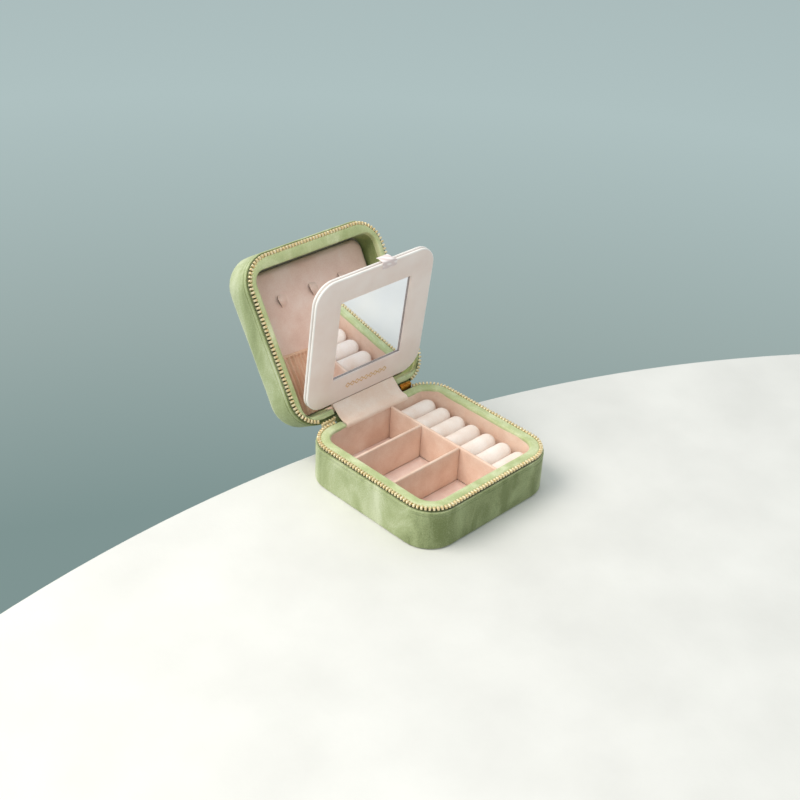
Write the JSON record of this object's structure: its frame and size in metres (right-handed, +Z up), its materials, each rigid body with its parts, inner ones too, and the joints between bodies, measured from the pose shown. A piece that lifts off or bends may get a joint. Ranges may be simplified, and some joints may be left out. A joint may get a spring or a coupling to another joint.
{
  "type": "travel jewelry case",
  "caption": "Square zip-round travel jewelry case with mirror page, necklace hooks, gathered pocket, divided tray and ring rolls.",
  "frame": {"origin": "centre of the base's bottom face", "axes": "+Z up, +Y towards the hinge, +X along the hinge; stored open"},
  "size_m": [0.0952, 0.1622, 0.1123],
  "materials": {
    "sage_velvet": "short-pile velvet",
    "dark_velvet": "zip tape",
    "blush_lining": "brushed microsuede",
    "blush_leatherette": "soft leatherette",
    "ring_velvet": "padded microsuede",
    "pocket_cloth": "gathered stretch cloth",
    "gilt_metal": "bright plated",
    "grey_board": "pressed board",
    "foam": "open-cell foam and wadding",
    "mirror_glass": "silvered",
    "gold_foil": "hot-stamped foil",
    "tab_ribbon": "satin ribbon"
  },
  "bodies": {
    "base": {"base_cover": "sage_velvet", "base_shell": "grey_board", "base_wall_foam": "foam", "base_lining": "blush_lining", "base_floor_pad": "blush_lining", "base_rim_band": "sage_velvet", "base_hinge_lining": "blush_lining", "base_spine": "sage_velvet", "base_zip_tape": "dark_velvet", "base_zip_teeth": "gilt_metal", "zip_closed_end": "gilt_metal", "zip_slider": "gilt_metal", "long_divider": "blush_lining", "ring_bed": "foam", "ring_roll_1": "ring_velvet", "ring_roll_2": "ring_velvet", "ring_roll_3": "ring_velvet", "ring_roll_4": "ring_velvet", "ring_roll_5": "ring_velvet", "ring_roll_6": "ring_velvet", "ring_roll_7": "ring_velvet"},
    "mirror_page": {"mirror_front_cover": "blush_leatherette", "mirror_core": "grey_board", "mirror_glass": "mirror_glass", "mirror_back_cover": "blush_leatherette", "mirror_ornament": "gold_foil", "mirror_tab": "tab_ribbon", "mirror_flap": "blush_lining"},
    "lid": {"lid_cover": "sage_velvet", "lid_shell": "grey_board", "lid_padding": "foam", "lid_back_board": "grey_board", "lid_wall_foam": "foam", "lid_lining": "sage_velvet", "lid_back_pad": "blush_lining", "lid_rim_band": "sage_velvet", "lid_hinge_lining": "blush_lining", "lid_spine": "sage_velvet", "lid_zip_tape": "dark_velvet", "lid_zip_teeth": "gilt_metal", "necklace_hook_1": "blush_lining", "necklace_hook_2": "blush_lining", "necklace_hook_3": "blush_lining", "pocket": "pocket_cloth", "pocket_elastic": "pocket_cloth"},
    "divider_back": {"divider_back": "blush_lining"},
    "divider_front": {"divider_front": "blush_lining"},
    "zip_pull": {"zip_pull": "gilt_metal"}
  },
  "joints": [
    {"name": "mirror_page_hinge", "type": "hinge", "parent": "base", "child": "mirror_page", "pos_m": [0, 0.0476, 0.0255], "axis": [-1, 0, 0], "range_deg": [-83.3, 33.7]},
    {"name": "lid_hinge", "type": "hinge", "parent": "mirror_page", "child": "lid", "pos_m": [0, 0.0476, 0.0255], "axis": [-1, 0, 0], "range_deg": [-37.7, 0]},
    {"name": "divider_back_lift", "type": "slide", "parent": "base", "child": "divider_back", "axis": [0, 0, 1], "range_m": [0, 0.022]},
    {"name": "divider_front_lift", "type": "slide", "parent": "base", "child": "divider_front", "axis": [0, 0, 1], "range_m": [0, 0.022]},
    {"name": "zip_pull_swing", "type": "hinge", "parent": "base", "child": "zip_pull", "pos_m": [0.0269, 0.04835, 0.024], "axis": [-1, 0, 0], "range_deg": [-35, 0]}
  ]
}
